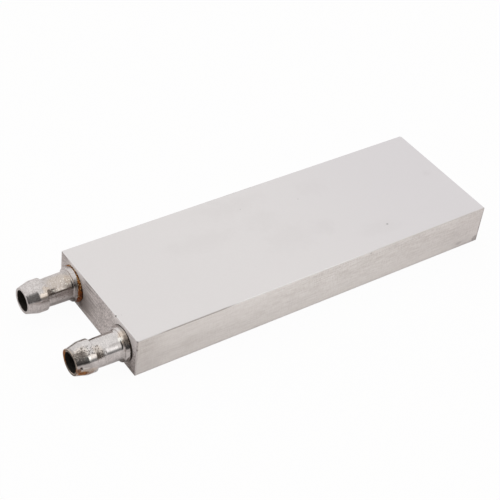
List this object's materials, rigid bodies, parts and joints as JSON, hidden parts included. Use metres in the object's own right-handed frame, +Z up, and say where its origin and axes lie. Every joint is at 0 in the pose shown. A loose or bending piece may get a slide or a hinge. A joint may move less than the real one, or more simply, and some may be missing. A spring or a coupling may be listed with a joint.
{
  "type": "liquid cooling block",
  "caption": "Flat finned liquid cooling block with a U-shaped water path between two end plates and two turned hose barbs standing side by side at one end.",
  "frame": {"origin": "centre of the lower cooling face, in the plane that the block rests on", "axes": "+X along the block away from the hose barbs, +Y across it, +Z up through its thickness"},
  "size_m": [0.1355, 0.04, 0.0125],
  "materials": {
    "block_aluminium": "ground and lightly brushed satin",
    "barb_steel": "turned and plated, pitted, with rust spots",
    "sealing_compound": "dried brown compound"
  },
  "bodies": {
    "root": {"channel_body": "block_aluminium", "port_end_plate": "block_aluminium", "far_end_plate": "block_aluminium", "inlet_barb": "barb_steel", "outlet_barb": "barb_steel", "inlet_seal_bead": "sealing_compound", "outlet_seal_bead": "sealing_compound"}
  },
  "joints": []
}
